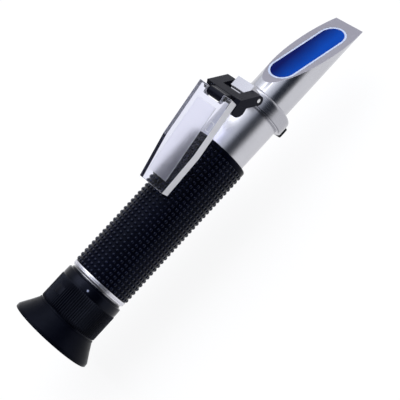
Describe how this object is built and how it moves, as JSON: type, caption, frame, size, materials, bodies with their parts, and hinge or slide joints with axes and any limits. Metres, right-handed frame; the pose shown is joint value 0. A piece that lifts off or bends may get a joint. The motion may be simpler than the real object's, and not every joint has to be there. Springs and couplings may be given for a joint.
{
  "type": "handheld refractometer",
  "caption": "Handheld optical refractometer with flared rubber eyecup, focusing ring, dotted rubber grip, bright tube, slanted prism face and a hinged clear daylight plate.",
  "frame": {"origin": "on the optical axis, half way along the overall length, inside the rubber grip", "axes": "+X along the optical axis towards the prism tip, +Z to the side the daylight plate opens over, Y along the hinge pin"},
  "size_m": [0.195, 0.0402, 0.0507],
  "materials": {
    "cup_rubber": "matte black soft rubber",
    "grip_rubber": "matte black moulded rubber",
    "black_plastic": "satin black moulded plastic",
    "bright_metal": "bright satin metal",
    "tube_metal": "satin anodised aluminium",
    "brushed_metal": "fine brushed metal",
    "inner_black": "matte black anodised",
    "brass": "turned brass",
    "steel": "turned steel",
    "bimetal": "rolled bimetal strip",
    "optical_glass": "polished optical glass",
    "prism_glass": "polished glass with a deep blue look",
    "seal": "pale sealing compound",
    "clear_plastic": "clear moulded plastic with a frosted pad"
  },
  "bodies": {
    "base": {"stop_ring": "brass", "trim_ring": "bright_metal", "rubber_grip": "grip_rubber", "main_tube": "tube_metal", "reticle": "optical_glass", "reticle_mount": "inner_black", "reticle_ring": "inner_black", "baffle": "inner_black", "strip_block": "brass", "strip_screws": "steel", "bimetal_strip": "bimetal", "collar": "bright_metal", "hinge_pin": "steel", "prism_housing": "brushed_metal", "prism_seal": "seal", "prism": "prism_glass"},
    "focus": {"focus_ring": "black_plastic", "eyecup": "cup_rubber"},
    "cell": {"lens_cell": "inner_black", "eye_lens": "optical_glass", "lens_spacer": "inner_black", "field_lens": "optical_glass", "cell_ring": "inner_black", "cam_pin": "steel"},
    "bracket": {"hinge_bracket": "black_plastic"},
    "plate": {"daylight_plate": "clear_plastic"},
    "cal_screw": {"calibration_screw": "steel", "screw_clip": "steel"},
    "objective": {"objective_cell": "inner_black", "objective_crown": "optical_glass", "objective_flint": "optical_glass", "calibration_nut": "brass"},
    "cap": {"calibration_cap": "cup_rubber"}
  },
  "joints": [
    {"name": "bracket_hinge", "type": "hinge", "parent": "base", "child": "bracket", "pos_m": [0.0376, 0, 0.0177], "axis": [0, 1, 0], "range_deg": [0, 154.46]},
    {"name": "plate_hinge", "type": "hinge", "parent": "bracket", "child": "plate", "pos_m": [0.02739, 0, 0.0273], "axis": [0, 1, 0], "range_deg": [0, 57.54]},
    {"name": "focus_turn", "type": "hinge", "parent": "base", "child": "focus", "pos_m": [-0.075, 0, 0], "axis": [1, 0, 0], "range_deg": [-90, 90]},
    {"name": "cell_slide", "type": "slide", "parent": "base", "child": "cell", "axis": [1, 0, 0], "range_m": [-0.0026, 0.0026]},
    {"name": "calibration_turn", "type": "hinge", "parent": "base", "child": "cal_screw", "pos_m": [0.0406, 0, -0.012], "axis": [0, 0, 1], "range_deg": [-310, 310]},
    {"name": "objective_shift", "type": "slide", "parent": "base", "child": "objective", "axis": [0, 0, 1], "range_m": [-0.00033, 0.00033], "deforming": ["bimetal_strip"]},
    {"name": "cap_pull", "type": "slide", "parent": "base", "child": "cap", "axis": [0, 0, -1], "range_m": [0, 0.008]}
  ],
  "couplings": [
    {"joint": "cell_slide", "follows": "focus_turn", "m_per_rad": 0.00165},
    {"joint": "calibration_turn", "follows": "objective_shift", "rad_per_m": -15708}
  ]
}
